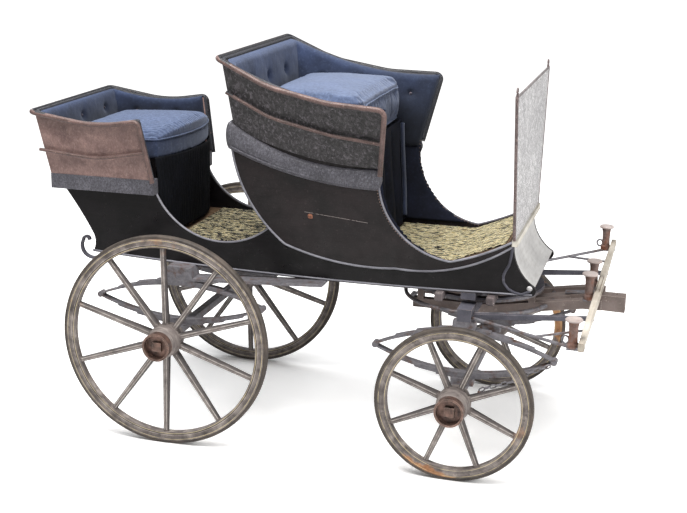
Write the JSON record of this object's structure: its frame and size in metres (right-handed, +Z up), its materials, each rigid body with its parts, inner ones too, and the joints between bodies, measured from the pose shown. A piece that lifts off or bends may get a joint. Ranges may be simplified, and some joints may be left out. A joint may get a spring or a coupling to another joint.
{
  "type": "phaeton carriage",
  "caption": "Open horse-drawn four-wheeled phaeton with a driver's seat, a rear seat, an upright dash, elliptic springs, a steering front carriage and turning wheels.",
  "frame": {"origin": "on the floor, midway between the rear seat's rail and the end of the pole stub, on the centre line", "axes": "+X forward, +Y to the left, +Z up"},
  "size_m": [2.931, 1.84, 1.917],
  "materials": {
    "body_paint": "worn dark brown-black coach paint",
    "floor_wood": "bare aged boards",
    "pale_paint": "pale worn coach paint",
    "cream_paint": "worn cream paint on wood",
    "black_leather": "cracked black leather",
    "brown_leather": "worn brown leather",
    "rail_leather": "faded pink-brown leather over iron rail",
    "grey_leather": "dull grey leather",
    "dash_leather": "cracked light grey leather",
    "blue_cloth": "faded blue wool cloth",
    "straw_mat": "woven straw and black mat",
    "wheel_wood": "worn grey-brown paint with bare wood showing",
    "tyre_rubber": "solid rubber tyre",
    "hub_brass": "dull brass",
    "iron": "worn grey painted iron"
  },
  "bodies": {
    "root": {"body_side_panels": "body_paint", "main_seat_side_panels": "body_paint", "floor_boards": "floor_wood", "toe_board": "pale_paint", "rear_panel": "body_paint", "main_seat_box": "body_paint", "rear_seat_box": "body_paint", "main_seat_shell": "black_leather", "main_seat_lining": "blue_cloth", "rear_seat_shell": "brown_leather", "rear_seat_roll": "grey_leather", "main_seat_rails": "rail_leather", "rear_seat_rails": "rail_leather", "main_cushion": "blue_cloth", "rear_cushion": "blue_cloth", "main_seat_fall": "blue_cloth", "rear_seat_fall": "blue_cloth", "floor_mats": "straw_mat", "dash_panel": "dash_leather", "dash_bar": "cream_paint", "rear_axle": "iron", "rear_springs": "iron", "rear_spring_pads": "iron", "body_loops": "iron", "upper_fifth_wheel": "iron", "kingpin": "iron"},
    "front_carriage": {"lower_fifth_wheel": "iron", "lower_bed": "wheel_wood", "front_axle": "iron", "front_springs": "iron", "front_spring_pads": "iron", "front_spring_top_pads": "iron", "futchells": "wheel_wood", "splinter_bar": "cream_paint", "roller_bolts": "iron", "pole_stub": "cream_paint"},
    "rear_left_wheel_turning": {"rear_left_wheel": "wheel_wood", "rear_left_tyre": "tyre_rubber", "rear_left_hub_band": "hub_brass"},
    "rear_right_wheel_turning": {"rear_right_wheel": "wheel_wood", "rear_right_tyre": "tyre_rubber", "rear_right_hub_band": "hub_brass"},
    "front_left_wheel_turning": {"front_left_wheel": "wheel_wood", "front_left_tyre": "tyre_rubber", "front_left_hub_band": "hub_brass"},
    "front_right_wheel_turning": {"front_right_wheel": "wheel_wood", "front_right_tyre": "tyre_rubber", "front_right_hub_band": "hub_brass"}
  },
  "joints": [
    {"name": "steering", "type": "hinge", "parent": "root", "child": "front_carriage", "pos_m": [0.744, 0, 0.788], "axis": [0, 0, 1], "range_deg": [-50, 50]},
    {"name": "rear_left_wheel_turn", "type": "hinge", "parent": "root", "child": "rear_left_wheel_turning", "pos_m": [-0.694, 0.636, 0.53], "axis": [0, 1, 0], "continuous": true},
    {"name": "rear_right_wheel_turn", "type": "hinge", "parent": "root", "child": "rear_right_wheel_turning", "pos_m": [-0.694, -0.636, 0.53], "axis": [0, 1, 0], "continuous": true},
    {"name": "front_left_wheel_turn", "type": "hinge", "parent": "front_carriage", "child": "front_left_wheel_turning", "pos_m": [0.744, 0.648, 0.375], "axis": [0, 1, 0], "continuous": true},
    {"name": "front_right_wheel_turn", "type": "hinge", "parent": "front_carriage", "child": "front_right_wheel_turning", "pos_m": [0.744, -0.648, 0.375], "axis": [0, 1, 0], "continuous": true}
  ]
}
